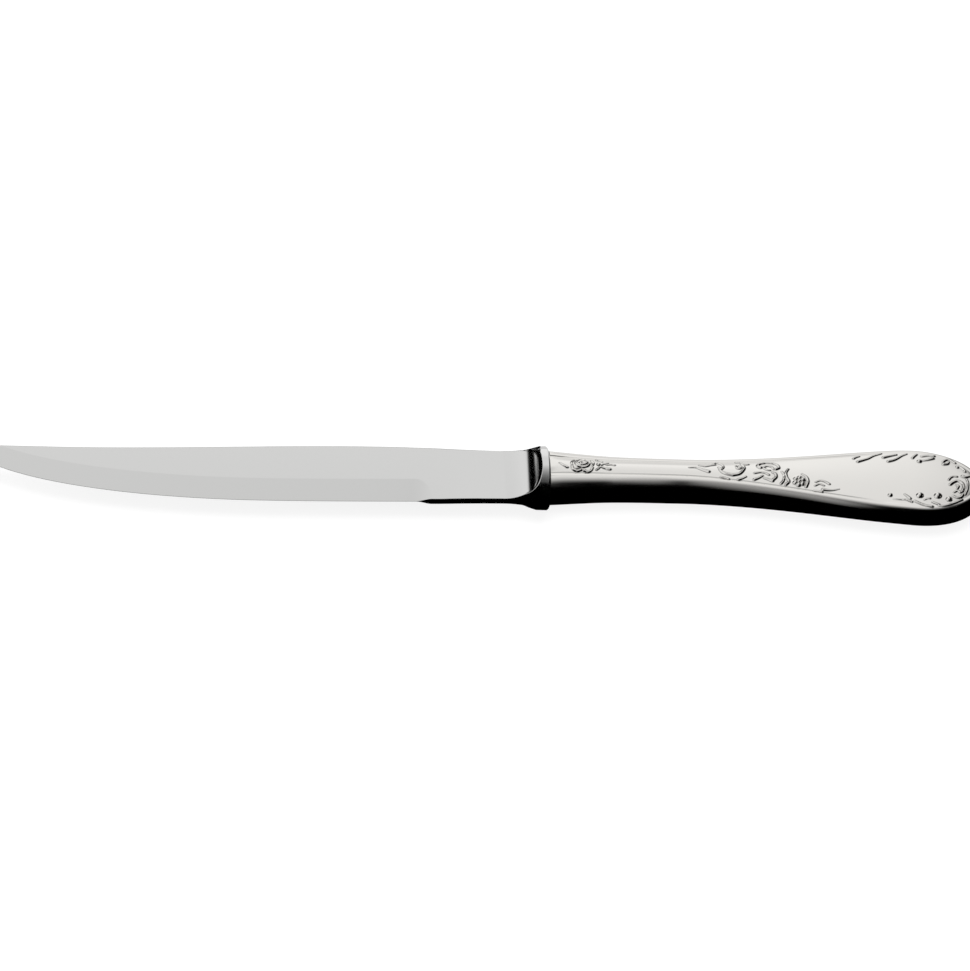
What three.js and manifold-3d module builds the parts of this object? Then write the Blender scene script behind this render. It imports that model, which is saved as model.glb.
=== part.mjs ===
// A steak knife, in millimetres. The blade, the bolster and the tang are one steel forging. The handle
// is two stamped silver half shells, soldered at the mid-plane and filled with cement round the tang.
// x runs along the handle from the tip to the butt, y from the cutting edge to the spine, z out of the
// front face. While it is modelled, x = 0 is the joint between the bolster and the handle's mouth.
import * as THREE from 'three';
import { mergeVertices } from 'three/addons/utils/BufferGeometryUtils.js';
import Module from 'manifold-3d';

const wasm = await Module();
wasm.setup();

// Blade: lengths from the bolster joint towards the tip, heights from the handle's axis
const bladeLength = 128.5;
const heelPosition = 27.8; // where the ground edge starts
const bellyPosition = 66.4; // where the edge is lowest
const spineHeight = 7.2; // at the bolster
const spineRise = 0.35; // slight hump ahead of the bolster
const spineRiseEnd = 40;
const spineDrop = 2.3; // how far the spine falls on its way to the tip
const spineDropStart = 33;
const spineDropEnd = 110;
const ricassoDepth = 7.2;
const heelDepth = 7.9;
const bellyDepth = 8.8;
const bellyLead = 12; // how long the edge stays level before the belly
const bellyRun = 34; // and after it
const tipHeight = 0.5; // blunted height of the point
const tipRun = 4; // direction of the edge at the point, along the blade
const tipRise = 7.6; // and across it
const ricassoThickness = 1.66;
const tipThickness = 1;
const spineChamfer = 0.15;
const edgeThickness = 0.1;
const bevelWidth = 6;
const plungeRadius = 2.2; // rounded end of the bevel at the heel

// Bolster: an oval ring that tapers towards the blade, cut back to the blade's flats by two coves
const bolsterHalfHeight = 8.65;
const bolsterHalfThickness = 5.15;
const bolsterRingWidth = 3.2;
const bolsterFlare = 3.2; // length over which the taper rises to the ring
const bolsterRootHalfHeight = 6.9;
const bolsterRearRadius = 1.4;
const coveRadius = 10.5;
const coveStart = 10.15;
const coveSink = 0.03; // keeps the cove's first line crisp where it leaves the flat

// Tang
const tangLength = 50;
const tangRootHalfWidth = 1.9;
const tangEndHalfWidth = 1.2;
const tangThickness = 3;
const tangRootDepth = 2; // how far the tang starts inside the bolster
const notchCount = 4;
const notchPitch = 9;
const notchStart = 10;
const notchLength = 3;
const notchDepth = 0.4;

// Handle, in plan: half widths from the axis
const handleLength = 97;
const mouthHalfWidth = 6.1;
const mouthFall = 1.15; // slope of the outline where it leaves the mouth
const mouthRun = 14;
const waistPosition = 29;
const waistHalfWidth = 4.55;
const waistLead = 14; // how long the outline stays level before the waist
const waistTail = 24; // and after it
const widestPosition = 82;
const widestHalfWidth = 9.65;
const swellLead = 15; // how long the outline stays level before its widest point
const buttDroop = 0.85; // how far the butt hangs towards the edge side
const droopStart = 76;

// Handle, across: thickness, and the flat panel inside its border groove
const neckHalfThickness = 4.16;
const buttHalfThickness = 2.95;
const thinningStart = 24;
const thinningEnd = 80;
const mouthSwelling = 0.38; // extra half thickness at the mouth
const mouthSwellingEnd = 14;
const shoulderFullness = 1; // 1 is an elliptic shoulder, less is squarer
const mouthPanelHalfWidth = 2.6;
const mouthPanelFall = 0.85;
const mouthPanelRun = 8;
const neckPanelHalfWidth = 1.95;
const panelLead = 9; // how long the border stays level before the waist
const panelTail = 16; // and after it
const panelSwellLead = 7.5;
const buttShoulder = 1.7; // width of the shoulder outside the panel, round the butt
const panelCrown = 0.25;
const grooveHalfWidth = 0.3;
const grooveDepth = 0.2;
const grooveFadeStart = 66; // the groove runs out before the butt
const grooveFadeEnd = 78;

// Shell wall, filling and fits
const shellWall = 0.6;
const fillGap = 0.15; // clearance of solder, cement and tang to what they lie against
const cementStart = 0.6;
const mouthOverrun = 3; // how far the cutting forms pass out of the mouth
const solderWidth = 0.6;
const solderHalfHeight = 0.45;

// Facets
const edgeSteps = 14;
const heelSteps = 5;
const plungeSteps = 5;
const ovalSides = 40;
const flareSteps = 4;
const coveSteps = 12;
const roundSteps = 3;
const neckSteps = 8;
const swellSteps = 14;
const buttSteps = 9;
const shoulderSteps = 5;
const panelSteps = 4;

const weldDistance = 1e-3; // corners closer than this are one corner
const reach = 400; // size of the cutting boxes, well past the knife

const { lerp, smoothstep } = THREE.MathUtils;
const point = (x, y, z) => new THREE.Vector3(x, y, z);

// Solids and geometries

function withoutSlivers(geometry) {
  const merged = mergeVertices(geometry, weldDistance);
  const kept = [];
  for (let i = 0; i < merged.index.count; i += 3) {
    const corners = [0, 1, 2].map((k) => merged.index.getX(i + k));
    if (new Set(corners).size === 3) kept.push(...corners);
  }
  merged.setIndex(kept);
  return merged;
}

function solid(geometry) {
  const bare = geometry.clone();
  bare.deleteAttribute('normal');
  bare.deleteAttribute('uv');
  const merged = withoutSlivers(bare);
  const vertProperties = new Float32Array(merged.attributes.position.array);
  const triVerts = new Uint32Array(merged.index.array);
  return new wasm.Manifold(new wasm.Mesh({ numProp: 3, vertProperties, triVerts }));
}

function geometryOf(body) {
  const mesh = body.getMesh();
  const geometry = new THREE.BufferGeometry();
  geometry.setAttribute('position', new THREE.BufferAttribute(new Float32Array(mesh.vertProperties), 3));
  geometry.setIndex(Array.from(mesh.triVerts));
  geometry.computeVertexNormals();
  return geometry;
}

// Skin over a row of closed loops with the same number of points, with a fan over each open end
function loft(loops, closeLast = true) {
  const count = loops[0].length;
  const positions = loops.flat().flatMap((p) => [p.x, p.y, p.z]);
  const index = [];
  for (let row = 0; row + 1 < loops.length; row++) {
    for (let k = 0; k < count; k++) {
      const next = (k + 1) % count;
      const [a, b] = [row * count + k, row * count + next];
      const [c, d] = [a + count, b + count];
      index.push(a, b, d, a, d, c);
    }
  }
  const fan = (row, flip) => {
    const middle = loops[row].reduce((sum, p) => sum.add(p), point(0, 0, 0)).divideScalar(count);
    const hub = positions.length / 3;
    positions.push(middle.x, middle.y, middle.z);
    for (let k = 0; k < count; k++) {
      const [a, b] = [row * count + k, row * count + ((k + 1) % count)];
      index.push(...(flip ? [hub, a, b] : [hub, b, a]));
    }
  };
  fan(0, false);
  if (closeLast) fan(loops.length - 1, true);
  const geometry = new THREE.BufferGeometry();
  geometry.setAttribute('position', new THREE.BufferAttribute(new Float32Array(positions), 3));
  geometry.setIndex(index);
  return geometry;
}

// Block across the whole knife, from bottom to top
function slab(bottom, top) {
  const geometry = new THREE.BoxGeometry(reach, reach, top - bottom);
  geometry.translate(0, 0, (top + bottom) / 2);
  return solid(geometry);
}

// Blade

function spineAt(position) {
  const rise = spineRise * smoothstep(position, 0, spineRiseEnd);
  return spineHeight + rise - spineDrop * smoothstep(position, spineDropStart, spineDropEnd);
}

// The cutting edge: level from the heel to the belly, then up to the point in one sweep
const tip = new THREE.Vector2(bladeLength, spineAt(bladeLength) - tipHeight);
const heelToBelly = new THREE.QuadraticBezierCurve(
  new THREE.Vector2(heelPosition, -heelDepth),
  new THREE.Vector2(bellyPosition - bellyLead, -bellyDepth),
  new THREE.Vector2(bellyPosition, -bellyDepth),
);
const bellyToTip = new THREE.CubicBezierCurve(
  new THREE.Vector2(bellyPosition, -bellyDepth),
  new THREE.Vector2(bellyPosition + bellyRun, -bellyDepth),
  new THREE.Vector2(tip.x - tipRun, tip.y - tipRise),
  tip,
);

// One slice of the blade: chamfered spine, flat sides down to the grind line, bevels to the edge.
// Where the blade is lower than the bevel is wide, the bevels run up to a thinner spine.
function bladeSlice(position, edgeY, bevel) {
  const spineY = spineAt(position);
  const height = spineY - edgeY;
  const pastHeel = Math.max(0, position - heelPosition) / (bladeLength - heelPosition);
  const taper = lerp(ricassoThickness, tipThickness, pastHeel) / 2;
  const share = Math.min(1, height / bevelWidth);
  const half = taper * share;
  const chamfer = spineChamfer * share;
  const edgeHalf = (edgeThickness / 2) * share;
  const grindY = Math.min(edgeY + bevel, spineY - 2 * chamfer);
  const front = [
    [spineY, half - chamfer],
    [spineY - chamfer, half],
    [grindY, half],
    [edgeY, edgeHalf],
  ];
  const back = front.map(([y, z]) => [y, -z]).reverse();
  return [...front, ...back].map(([y, z]) => point(-position, y, z));
}

function bladeGeometry() {
  const slices = [];
  for (const p of bellyToTip.getPoints(edgeSteps).reverse()) {
    slices.push(bladeSlice(p.x, p.y, bevelWidth));
  }
  const plungeEnd = heelPosition + plungeRadius;
  for (const p of heelToBelly.getPoints(heelSteps).reverse().slice(1)) {
    if (p.x > plungeEnd) slices.push(bladeSlice(p.x, p.y, bevelWidth));
  }
  // The bevel's rounded end: the grind line falls to the edge along a quarter ellipse
  for (let k = 0; k < plungeSteps; k++) {
    const angle = (k / plungeSteps) * (Math.PI / 2);
    const before = plungeRadius * (1 - Math.sin(angle));
    const edgeY = lerp(-heelDepth, -bellyDepth, before / (bellyPosition - heelPosition));
    slices.push(bladeSlice(heelPosition + before, edgeY, bevelWidth * Math.cos(angle)));
  }
  slices.push(bladeSlice(heelPosition, -heelDepth, 0));
  slices.push(bladeSlice(bolsterRingWidth, -ricassoDepth, 0));
  return loft(slices);
}

// Bolster

function bolsterGeometry() {
  const loops = [];
  const oval = (x, halfHeight, halfThickness) => {
    const loop = [];
    for (let k = 0; k < ovalSides; k++) {
      const angle = (k / ovalSides) * 2 * Math.PI;
      loop.push(point(x, halfHeight * Math.cos(angle), halfThickness * Math.sin(angle)));
    }
    loops.push(loop);
  };
  const rise = bolsterHalfHeight - bolsterRootHalfHeight;
  oval(-coveStart, bolsterRootHalfHeight, bolsterHalfThickness);
  for (let k = 0; k <= flareSteps; k++) {
    const share = k / flareSteps;
    const x = -bolsterRingWidth - bolsterFlare * (1 - share);
    oval(x, bolsterRootHalfHeight + rise * share, bolsterHalfThickness);
  }
  for (let k = 0; k <= roundSteps; k++) {
    const angle = (k / roundSteps) * (Math.PI / 2);
    const drop = bolsterRearRadius * (1 - Math.cos(angle));
    const x = bolsterRearRadius * (Math.sin(angle) - 1);
    oval(x, bolsterHalfHeight - drop, bolsterHalfThickness - drop);
  }
  return loft(loops);
}

// What is ground away in front of one cove: a straight flat, then an arc up to the ring
function coveCutter(side) {
  const floor = ricassoThickness / 2 - coveSink;
  const outside = bolsterHalfThickness + coveRadius;
  const profile = new THREE.Shape();
  profile.moveTo(-coveStart - coveRadius, floor);
  profile.lineTo(-coveStart, floor);
  profile.absarc(-coveStart, floor + coveRadius, coveRadius, -Math.PI / 2, 0);
  profile.lineTo(-coveStart + coveRadius, outside);
  profile.lineTo(-coveStart - coveRadius, outside);
  const depth = 4 * bolsterHalfHeight;
  const options = { depth, bevelEnabled: false, curveSegments: coveSteps };
  const geometry = new THREE.ExtrudeGeometry(profile, options);
  geometry.translate(0, 0, -depth / 2);
  geometry.rotateX((side * Math.PI) / 2);
  return solid(geometry);
}

// Tang

// A flat, tapering bar with pairs of notches that key into the cement. grow swells it for the socket.
function tangGeometry(grow) {
  const halfWidthAt = (x) => lerp(tangRootHalfWidth, tangEndHalfWidth, x / tangLength) + grow;
  const upper = [[-tangRootDepth, halfWidthAt(-tangRootDepth)]];
  for (let k = 0; k < notchCount; k++) {
    const from = notchStart + k * notchPitch + grow;
    const to = from + notchLength - 2 * grow;
    upper.push([from, halfWidthAt(from)]);
    upper.push([from + notchDepth, halfWidthAt(from) - notchDepth]);
    upper.push([to - notchDepth, halfWidthAt(to) - notchDepth]);
    upper.push([to, halfWidthAt(to)]);
  }
  upper.push([tangLength + grow, halfWidthAt(tangLength)]);
  const lower = upper.map(([x, y]) => [x, -y]).reverse();
  const outline = new THREE.Shape([...upper, ...lower].map(([x, y]) => new THREE.Vector2(x, y)));
  const depth = tangThickness + 2 * grow;
  const geometry = new THREE.ExtrudeGeometry(outline, { depth, bevelEnabled: false });
  geometry.translate(0, 0, -depth / 2);
  return geometry;
}

// Handle

// Plan curve from the mouth past the waist to the widest point, then round the butt
function planCurve(mouth, mouthHandle, waist, waistHandles, widest, widestHandle, end) {
  const points = [];
  const neck = new THREE.CubicBezierCurve(
    new THREE.Vector2(0, mouth),
    new THREE.Vector2(mouthHandle.x, mouth - mouthHandle.y),
    new THREE.Vector2(waistPosition - waistHandles.before, waist),
    new THREE.Vector2(waistPosition, waist),
  );
  const swell = new THREE.CubicBezierCurve(
    new THREE.Vector2(waistPosition, waist),
    new THREE.Vector2(waistPosition + waistHandles.after, waist),
    new THREE.Vector2(widestPosition - widestHandle, widest),
    new THREE.Vector2(widestPosition, widest),
  );
  points.push(...neck.getPoints(neckSteps), ...swell.getPoints(swellSteps).slice(1));
  for (let k = 1; k <= buttSteps; k++) {
    const angle = (k / buttSteps) * (Math.PI / 2);
    const x = widestPosition + (end - widestPosition) * Math.sin(angle);
    points.push(new THREE.Vector2(x, k < buttSteps ? widest * Math.cos(angle) : 0));
  }
  return points;
}

// Half thickness of the handle at the panel's border
function thicknessAt(x) {
  const swelling = mouthSwelling * (1 - smoothstep(x, 0, mouthSwellingEnd));
  return swelling + lerp(neckHalfThickness, buttHalfThickness, smoothstep(x, thinningStart, thinningEnd));
}

// Closed loops round the handle, from the mouth to the butt. inset moves the whole surface inwards, and
// overrun carries it straight on out of the mouth. The last loop is folded flat on the axis, so it
// closes the butt by itself.
function handleGeometry({ inset, overrun, grooved }) {
  const outer = planCurve(
    mouthHalfWidth - inset,
    { x: mouthRun, y: mouthFall },
    waistHalfWidth - inset,
    { before: waistLead, after: waistTail },
    widestHalfWidth - inset,
    swellLead,
    handleLength - inset,
  );
  const panelInset = inset / 2; // half, so that the shoulder keeps some width at the waist
  const widestPanel = widestHalfWidth - buttShoulder - panelInset - inset / 2;
  const border = planCurve(
    mouthPanelHalfWidth - panelInset,
    { x: mouthPanelRun, y: mouthPanelFall },
    neckPanelHalfWidth - panelInset,
    { before: panelLead, after: panelTail },
    widestPanel,
    panelSwellLead,
    handleLength - buttShoulder - inset,
  );
  const droop = (x) => buttDroop * smoothstep(x, droopStart, handleLength);
  const loops = outer.map((rim, row) => {
    const edge = border[row];
    const across = rim.clone().sub(edge).normalize();
    const half = thicknessAt(edge.x) - inset;
    const depth = grooved ? grooveDepth * (1 - smoothstep(edge.x, grooveFadeStart, grooveFadeEnd)) : 0;
    const crest = edge.clone().addScaledVector(across, grooveHalfWidth);
    const field = edge.clone().addScaledVector(across, -grooveHalfWidth);
    if (row === outer.length - 1) field.y = 0;
    const rib = [];
    for (let k = 0; k <= shoulderSteps; k++) {
      const angle = (k / shoulderSteps) * (Math.PI / 2);
      const p = crest.clone().lerp(rim, Math.cos(angle) ** shoulderFullness);
      rib.push(point(p.x, p.y, half * Math.sin(angle) ** shoulderFullness));
    }
    if (grooved) rib.push(point(edge.x, edge.y, half - depth));
    for (let k = 0; k < panelSteps / 2; k++) {
      const share = 1 - (2 * k) / panelSteps;
      rib.push(point(field.x, field.y * share, half + panelCrown * (1 - share * share)));
    }
    const ridge = point(field.x, 0, half + panelCrown);
    const front = [...rib, ridge, ...rib.map((p) => point(p.x, -p.y, p.z)).reverse()];
    const back = front.slice(1, -1).map((p) => point(p.x, p.y, -p.z)).reverse();
    return [...front, ...back].map((p) => point(p.x, p.y - droop(p.x), p.z));
  });
  if (overrun > 0) loops.unshift(loops[0].map((p) => point(p.x - overrun, p.y, p.z)));
  return loft(loops, false);
}

// Bodies

const coves = coveCutter(1).add(coveCutter(-1));
const bolster = solid(bolsterGeometry()).subtract(coves);
const forging = solid(bladeGeometry()).add(bolster).add(solid(tangGeometry(0)));

const insideAt = (inset) => solid(handleGeometry({ inset, overrun: mouthOverrun, grooved: false }));
const outside = solid(handleGeometry({ inset: 0, overrun: 0, grooved: true }));
const shell = outside.subtract(insideAt(shellWall));
const frontShell = shell.intersect(slab(0, reach));
const backShell = shell.intersect(slab(-reach, 0));

const fillInset = shellWall + fillGap;
const mouthBlock = new THREE.BoxGeometry(reach, reach, reach);
mouthBlock.translate(cementStart - reach / 2, 0, 0);
const fill = insideAt(fillInset).subtract(solid(mouthBlock));
const solderBand = slab(-solderHalfHeight, solderHalfHeight);
const solder = fill.intersect(solderBand).subtract(insideAt(fillInset + solderWidth));
const solderRoom = slab(-solderHalfHeight - fillGap, solderHalfHeight + fillGap).subtract(
  insideAt(fillInset + solderWidth + fillGap),
);
const cement = fill.subtract(solderRoom).subtract(solid(tangGeometry(fillGap)));

const knife = new THREE.Group();

function addPiece(name, body, color, roughness, metalness) {
  const material = new THREE.MeshStandardMaterial({ color, roughness, metalness });
  const mesh = new THREE.Mesh(geometryOf(body), material);
  mesh.name = name;
  knife.add(mesh);
}

addPiece('blade', forging, 0xcfcfcd, 0.2, 1);
addPiece('handle_front_shell', frontShell, 0xe2e0dc, 0.12, 1);
addPiece('handle_back_shell', backShell, 0xe2e0dc, 0.12, 1);
addPiece('seam_solder', solder, 0xb4b4b0, 0.4, 1);
addPiece('cement_core', cement, 0x8b6a4a, 0.9, 0);

// The knife lies on its side: the origin is under its middle, on the surface that the bolster touches
const box = new THREE.Box3().setFromObject(knife);
const middle = box.getCenter(point(0, 0, 0));
knife.position.set(-middle.x, -middle.y, -box.min.z);

export default knife;
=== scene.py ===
import math

import bmesh
import bpy
import numpy as np
from mathutils import Matrix, Vector


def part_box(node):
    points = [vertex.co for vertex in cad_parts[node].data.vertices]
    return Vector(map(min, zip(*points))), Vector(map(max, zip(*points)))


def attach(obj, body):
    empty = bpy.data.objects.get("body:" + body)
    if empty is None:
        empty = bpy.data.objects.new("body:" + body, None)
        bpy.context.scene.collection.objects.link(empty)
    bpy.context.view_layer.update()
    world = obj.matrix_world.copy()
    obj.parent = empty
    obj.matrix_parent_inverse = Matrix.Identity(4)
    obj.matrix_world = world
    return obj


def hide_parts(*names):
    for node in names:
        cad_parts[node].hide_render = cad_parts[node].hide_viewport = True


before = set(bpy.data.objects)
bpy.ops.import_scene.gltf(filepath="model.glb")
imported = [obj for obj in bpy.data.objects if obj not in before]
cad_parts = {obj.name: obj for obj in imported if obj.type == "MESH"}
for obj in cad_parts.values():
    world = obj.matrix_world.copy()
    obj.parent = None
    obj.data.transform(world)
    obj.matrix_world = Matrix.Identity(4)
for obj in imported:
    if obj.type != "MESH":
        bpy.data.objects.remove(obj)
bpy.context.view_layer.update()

# Pieces are worked out in millimetres from the joint between bolster and handle, on the seam plane:
# x towards the butt, y towards the spine, z out of the front face
mm = 0.001
bolsterHalfHeight = 8.65  # the bolster is the blade's highest point, so it gives the axis
bladeLow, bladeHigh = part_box("blade")
shellLow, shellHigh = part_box("handle_front_shell")
joint = np.array([shellLow.x, bladeHigh.y - bolsterHalfHeight * mm, shellLow.z])
bladeLength = (shellLow.x - bladeLow.x) / mm
handleLength = (shellHigh.x - shellLow.x) / mm
print("knife: blade", round(bladeLength, 2), "mm, handle", round(handleLength, 2), "mm")


def smooth(x, start, end):  # 0 before start, 1 after end, level at both
    t = np.clip((x - start) / (end - start), 0, 1)
    return t * t * (3 - 2 * t)


def softMin(a, b, width):  # the lower of two heights, with the crease between them rounded off
    return np.minimum(a, b) - np.clip(width - np.abs(a - b), 0, None) ** 2 / (4 * width)


def softMax(a, b, width):
    return -softMin(-a, -b, width)


def bezier(points, t):  # repeated blending of neighbours, as de Casteljau does
    level = [np.array(p, float) + np.zeros((len(t), 2)) for p in points]
    while len(level) > 1:
        level = [a + (b - a) * t[:, None] for a, b in zip(level, level[1:])]
    return level[0]


def bezierHeight(x, *curves, samples=400):  # y of a chain of Bezier curves at each x
    t = np.linspace(0, 1, samples)
    line = np.vstack([bezier(c, t) for c in curves])
    return np.interp(x, line[:, 0], line[:, 1])


def tubeFaces(rows, columns):  # quads between closed loops, row after row
    start = (np.arange(rows - 1) * columns)[:, None]
    here = np.arange(columns)[None, :]
    after = (here + 1) % columns
    quads = [start + here, start + after, start + after + columns, start + here + columns]
    return np.stack(quads, -1).reshape(-1, 4)


def sheetFaces(rows, columns):  # quads of an open grid
    start = (np.arange(rows - 1) * columns)[:, None]
    here = np.arange(columns - 1)[None, :]
    quads = [start + here, start + here + 1, start + here + 1 + columns, start + here + columns]
    return np.stack(quads, -1).reshape(-1, 4)


def makeMesh(name, points, faces, values=None, weld=0.002):
    # points in millimetres from the joint; values is a number at each point for the material to read
    mesh = bpy.data.meshes.new(name)
    mesh.from_pydata((points * mm + joint).tolist(), [], faces)
    if values is not None:
        # the values darken the silver: tarnish and painted shade in the relief's hollows
        layer = mesh.attributes.new("tarnish_and_shade", "FLOAT", "POINT")
        layer.data.foreach_set("value", values.astype(np.float32))
    if weld:
        work = bmesh.new()
        work.from_mesh(mesh)
        bmesh.ops.remove_doubles(work, verts=work.verts, dist=weld * mm)
        work.to_mesh(mesh)
        work.free()
    mesh.validate()
    mesh.shade_smooth()
    piece = bpy.data.objects.new(name, mesh)
    bpy.context.scene.collection.objects.link(piece)
    return piece


def finishPiece(piece, material, slot, *nodes):
    piece.data.materials.append(material)
    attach(piece, "root")
    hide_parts(*nodes)
    print("piece", piece.name, len(piece.data.polygons), "faces")


# Materials

def linear(hexColor):  # sRGB hex to linear
    parts = [int(hexColor[k:k + 2], 16) / 255 for k in (1, 3, 5)]
    return tuple(c / 12.92 if c <= 0.04045 else ((c + 0.055) / 1.055) ** 2.4 for c in parts) + (1,)


def addNode(tree, kind, links=None, **settings):
    # settings name the node's own options, or its sockets with underscores for spaces
    node = tree.nodes.new(kind)
    for key, value in settings.items():
        if hasattr(node, key):
            setattr(node, key, value)
        else:
            node.inputs[key.replace("_", " ")].default_value = value
    for key, output in (links or {}).items():
        tree.links.new(output, node.inputs[key])
    return node


def newMaterial(name):
    material = bpy.data.materials.new(name)
    material.use_nodes = True
    tree = material.node_tree
    tree.nodes.clear()
    return material, tree


# Stainless steel, ground and polished: a clear grey mirror, broken by very fine grinding lines
bladeFinish = {
    "color": "#D6D6D5", "roughness": (0.08, 0.125), "lineStrength": 0.02,
    "lineSpacing": 0.35, "lineLength": 30, "lineDepth": 0.004,  # mm
}


def groundSteel():
    look = bladeFinish
    material, tree = newMaterial("polished_stainless_steel")
    where = addNode(tree, "ShaderNodeTexCoord").outputs["Object"]
    # lines run from spine to edge; drawn coarser than real grinding lines so that they show
    across = 1 / (look["lineSpacing"] * mm)
    along = 1 / (look["lineLength"] * mm)
    stretched = addNode(tree, "ShaderNodeMapping", {"Vector": where}, Scale=(across, along, along))
    lines = addNode(
        tree, "ShaderNodeTexNoise", {"Vector": stretched.outputs["Vector"]}, Scale=1.0, Detail=3.0)
    rough = addNode(
        tree, "ShaderNodeMapRange", {"Value": lines.outputs["Fac"]},
        To_Min=look["roughness"][0], To_Max=look["roughness"][1],
    )
    bump = addNode(
        tree, "ShaderNodeBump", {"Height": lines.outputs["Fac"]},
        Strength=look["lineStrength"], Distance=look["lineDepth"] * mm,
    )
    shader = addNode(
        tree, "ShaderNodeBsdfPrincipled",
        {"Roughness": rough.outputs["Result"], "Normal": bump.outputs["Normal"]},
        Base_Color=linear(look["color"]), Metallic=1.0,
    )
    addNode(tree, "ShaderNodeOutputMaterial", {"Surface": shader.outputs["BSDF"]})
    return material


# Silver, stamped and polished by hand: a bright, slightly warm mirror, with tarnish and painted shade
# darkening the hollows
silverFinish = {
    # the dark colour of the hollows stands for tarnish and painted shade together
    "color": "#EDEBE7", "tarnishAndShade": "#2E2C29", "roughness": (0.063, 0.135), "clothReach": (0.6, 1.4),
    "patchSize": 1.2, "hazeSize": 9,  # mm
}


def polishedSilver():
    look = silverFinish
    material, tree = newMaterial("polished_stamped_silver")
    where = addNode(tree, "ShaderNodeTexCoord").outputs["Object"]
    haze = addNode(
        tree, "ShaderNodeTexNoise", {"Vector": where}, Scale=1 / (look["hazeSize"] * mm), Detail=2.0)
    rough = addNode(
        tree, "ShaderNodeMapRange", {"Value": haze.outputs["Fac"]},
        To_Min=look["roughness"][0], To_Max=look["roughness"][1],
    )
    # tarnish and painted shade: the hollows beside the relief are darkened, a little patchy where a cloth has
    # reached them
    tarnish_and_shade = addNode(tree, "ShaderNodeAttribute", attribute_name="tarnish_and_shade").outputs["Fac"]
    patches = addNode(tree, "ShaderNodeTexNoise", {"Vector": where}, Scale=1 / (look["patchSize"] * mm))
    reached = addNode(
        tree, "ShaderNodeMapRange", {"Value": patches.outputs["Fac"]},
        To_Min=look["clothReach"][0], To_Max=look["clothReach"][1],
    )
    dark = addNode(
        tree, "ShaderNodeMath", {0: tarnish_and_shade, 1: reached.outputs["Result"]},
        operation="MULTIPLY", use_clamp=True,
    )
    # a colour mix takes its two colours at inputs 6 and 7 and gives the result at output 2
    color = addNode(tree, "ShaderNodeMix", {"Factor": dark.outputs[0]}, data_type="RGBA")
    color.inputs[6].default_value = linear(look["color"])
    color.inputs[7].default_value = linear(look["tarnishAndShade"])
    shader = addNode(
        tree, "ShaderNodeBsdfPrincipled",
        {"Base Color": color.outputs[2], "Roughness": rough.outputs["Result"]}, Metallic=1.0,
    )
    addNode(tree, "ShaderNodeOutputMaterial", {"Surface": shader.outputs["BSDF"]})
    return material


# Silver solder, run into the seam and left as it set: dull grey with soft ripples
solderFinish = {
    "color": "#B4B4B0", "roughness": (0.336, 0.504),
    "rippleSize": 0.8, "rippleHeight": 0.03,  # mm
}


def runSolder():
    look = solderFinish
    material, tree = newMaterial("dull_silver_solder")
    where = addNode(tree, "ShaderNodeTexCoord").outputs["Object"]
    ripple = addNode(tree, "ShaderNodeTexNoise", {"Vector": where}, Scale=1 / (look["rippleSize"] * mm))
    rough = addNode(
        tree, "ShaderNodeMapRange", {"Value": ripple.outputs["Fac"]},
        To_Min=look["roughness"][0], To_Max=look["roughness"][1],
    )
    bump = addNode(
        tree, "ShaderNodeBump", {"Height": ripple.outputs["Fac"]}, Distance=look["rippleHeight"] * mm)
    shader = addNode(
        tree, "ShaderNodeBsdfPrincipled",
        {"Roughness": rough.outputs["Result"], "Normal": bump.outputs["Normal"]},
        Base_Color=linear(look["color"]), Metallic=1.0,
    )
    addNode(tree, "ShaderNodeOutputMaterial", {"Surface": shader.outputs["BSDF"]})
    return material


# Cutler's cement, rosin with brick dust, poured hot: a hard, dull brown mass with darker grit
cementFinish = {
    "color": "#8B6A4A", "grit": "#5E442E", "roughness": 0.85,
    "gritSize": 0.6, "gritHeight": 0.05,  # mm
}


def pouredCement():
    look = cementFinish
    material, tree = newMaterial("poured_rosin_cement")
    where = addNode(tree, "ShaderNodeTexCoord").outputs["Object"]
    grit = addNode(
        tree, "ShaderNodeTexNoise", {"Vector": where}, Scale=1 / (look["gritSize"] * mm), Detail=4.0)
    color = addNode(tree, "ShaderNodeMix", {"Factor": grit.outputs["Fac"]}, data_type="RGBA")
    color.inputs[6].default_value = linear(look["color"])
    color.inputs[7].default_value = linear(look["grit"])
    bump = addNode(tree, "ShaderNodeBump", {"Height": grit.outputs["Fac"]}, Distance=look["gritHeight"] * mm)
    shader = addNode(
        tree, "ShaderNodeBsdfPrincipled",
        {"Base Color": color.outputs[2], "Normal": bump.outputs["Normal"]}, Roughness=look["roughness"],
    )
    addNode(tree, "ShaderNodeOutputMaterial", {"Surface": shader.outputs["BSDF"]})
    return material


# Blade: one forging with ricasso, bolster and tang
bladeSizes = {
    "heel": 27.8, "belly": 66.4,  # from the joint towards the tip
    "spine": 7.2, "spineRise": 0.35, "riseEnd": 40, "spineDrop": 2.3, "dropStart": 33, "dropEnd": 110,
    "ricassoDepth": 7.2, "heelDepth": 7.9, "bellyDepth": 8.8, "bellyLead": 12, "bellyRun": 34,
    "tipHeight": 0.5, "tipRun": 4, "tipRise": 7.6,
    "thickness": 1.66, "tipThickness": 1, "edgeThickness": 0.1, "spineRound": 0.15,
    "bevel": 6, "plungeStart": 26.2, "plunge": 3.6,
}
bolsterSizes = {
    "halfHeight": bolsterHalfHeight, "halfThickness": 5.15, "pointed": 1.12,
    "rootHalfHeight": 6.9, "rootRound": 0.2, "blendLength": 3,
    "ring": 2.3, "ringLean": 0.7, "flare": 3.7, "flareLean": -0.2,  # the ring is longer underneath
    "kneeGap": 0.05,
    "cove": 10.5, "coveStart": 10.15, "rimRound": 0.25,
    "lipRise": 0.35, "lipWidth": 0.7, "lipFade": (-6, -4), "lipPull": 0.4,
    "end": 0.35, "endMore": 0.35, "endTurn": 0.5, "endDropY": 1.35, "endDropZ": 0.45,
}
tangSizes = {"length": 50, "rootHalfWidth": 1.9, "endHalfWidth": 1.2, "halfThickness": 1.5}
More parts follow.
